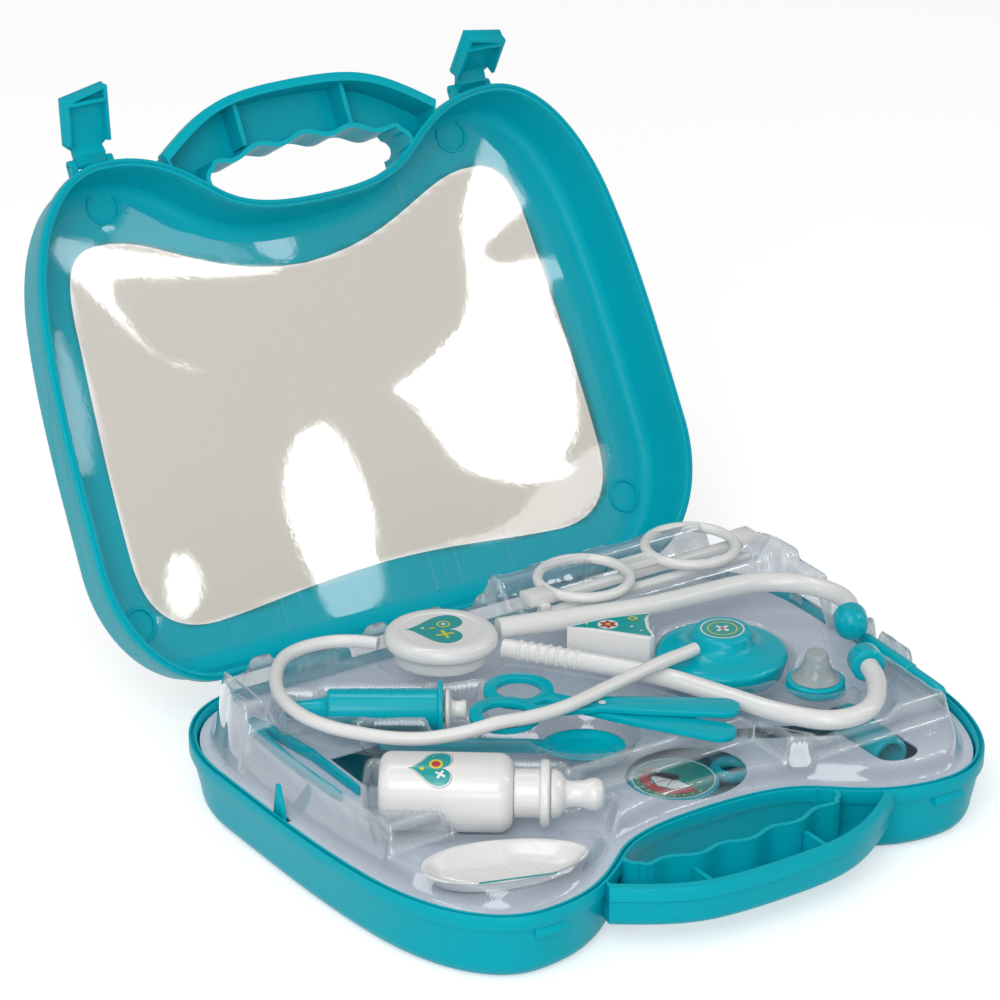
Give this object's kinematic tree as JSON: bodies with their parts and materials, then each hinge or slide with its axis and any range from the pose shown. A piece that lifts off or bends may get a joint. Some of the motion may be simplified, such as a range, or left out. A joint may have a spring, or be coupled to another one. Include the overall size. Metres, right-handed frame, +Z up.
{
  "type": "toy doctor case",
  "caption": "Hinged toy carry case with a window lid, fold-down latches, a clear formed tray and play medical tools.",
  "frame": {"origin": "centre of the base half's flat underside", "axes": "+X along the lid hinge to the right seen from the handle side, +Y from the handle towards the hinge, +Z up; the lid is stored open on its stop"},
  "size_m": [0.29, 0.3737, 0.2484],
  "materials": {
    "teal_shell": "satin moulded",
    "teal_tool": "glossy moulded",
    "pin_plastic": "moulded",
    "white_tool": "glossy moulded",
    "white_card": "coated board",
    "clear_film": "clear vacuum-formed film",
    "clear_window": "clear sheet",
    "smoke_plastic": "translucent grey",
    "sticker_green": "glossy print",
    "sticker_heart": "glossy print",
    "sticker_yellow": "glossy print",
    "dial_red": "print",
    "dial_black": "matt"
  },
  "bodies": {
    "base": {"base_shell": "teal_shell", "base_floor": "teal_shell", "base_ribs": "teal_shell", "base_handle": "teal_shell", "hinge_pin_left": "pin_plastic", "hinge_pin_right": "pin_plastic", "insert_card": "white_card", "dish": "white_tool", "dish_label": "sticker_green", "gauge_body": "teal_tool", "gauge_face": "sticker_green", "gauge_arc": "dial_red", "gauge_loop": "teal_tool", "hammer_head": "teal_tool", "hammer_handle": "teal_tool", "tweezers": "teal_tool"},
    "gauge_pointer": {"gauge_needle": "dial_black"},
    "lid": {"lid_shell": "teal_shell", "lid_face": "teal_shell", "lid_handle": "teal_shell", "window_film": "clear_window", "latch_pin_left": "pin_plastic", "latch_pin_right": "pin_plastic"},
    "latch_l": {"latch_left": "teal_shell"},
    "latch_r": {"latch_right": "teal_shell"},
    "tray": {"tray_film": "clear_film", "pen_stick": "teal_tool", "spoon": "teal_tool", "syringe_barrel": "teal_tool", "syringe_marks": "teal_tool", "scissor_half_a": "teal_tool", "scissor_pin": "white_tool"},
    "stethoscope": {"hub_lower": "white_tool", "hub_upper": "white_tool", "hub_sticker": "sticker_green", "arm_rear": "white_tool", "arm_front": "white_tool", "ear_tip_rear": "teal_tool", "ear_tip_front": "teal_tool", "steth_tube": "white_tool", "chest_piece": "teal_tool", "chest_sticker": "sticker_green"},
    "glasses": {"glasses_rims": "white_tool", "temple_left": "white_tool", "temple_right": "white_tool"},
    "bottle": {"bottle_body": "white_tool", "bottle_collar": "white_tool", "bottle_nozzle": "white_tool", "bottle_sticker": "sticker_green"},
    "otoscope": {"oto_disc": "teal_tool", "oto_cone": "smoke_plastic"},
    "badge": {"badge_block": "white_tool", "badge_sticker": "sticker_green", "badge_motif": "sticker_heart", "badge_dot": "sticker_yellow"},
    "plunger": {"syringe_plunger": "white_tool"},
    "scissor_b": {"scissor_half_b": "teal_tool"}
  },
  "joints": [
    {"name": "lid_hinge", "type": "hinge", "parent": "base", "child": "lid", "pos_m": [0, 0.1125, 0.03], "axis": [1, 0, 0], "range_deg": [0, 119.9]},
    {"name": "latch_left_fold", "type": "hinge", "parent": "lid", "child": "latch_l", "pos_m": [-0.093, 0.23737, 0.21668], "axis": [1, 0, 0], "range_deg": [-25, 65]},
    {"name": "latch_right_fold", "type": "hinge", "parent": "lid", "child": "latch_r", "pos_m": [0.093, 0.23737, 0.21668], "axis": [1, 0, 0], "range_deg": [-58, 32]},
    {"name": "tray_lift", "type": "slide", "parent": "base", "child": "tray", "axis": [0, 0, 1], "range_m": [0, 0.1]},
    {"name": "stethoscope_lift", "type": "slide", "parent": "tray", "child": "stethoscope", "axis": [0, 0, 1], "range_m": [0, 0.08]},
    {"name": "glasses_lift", "type": "slide", "parent": "tray", "child": "glasses", "axis": [0, 0, 1], "range_m": [0, 0.08]},
    {"name": "bottle_lift", "type": "slide", "parent": "tray", "child": "bottle", "axis": [0, 0, 1], "range_m": [0, 0.08]},
    {"name": "otoscope_lift", "type": "slide", "parent": "tray", "child": "otoscope", "axis": [0, 0, 1], "range_m": [0, 0.08]},
    {"name": "badge_lift", "type": "slide", "parent": "tray", "child": "badge", "axis": [0, 0, 1], "range_m": [0, 0.08]},
    {"name": "plunger_slide", "type": "slide", "parent": "tray", "child": "plunger", "axis": [0.8443, -0.5358, 0], "range_m": [0, 0.004]},
    {"name": "scissor_pivot", "type": "hinge", "parent": "tray", "child": "scissor_b", "pos_m": [-0.008, -0.016, 0.049], "axis": [0, 0, 1], "range_deg": [-18, 3]},
    {"name": "gauge_needle_turn", "type": "hinge", "parent": "base", "child": "gauge_pointer", "pos_m": [0.007, -0.044, 0.0269], "axis": [0, 0, 1], "range_deg": [-60, 60]}
  ]
}
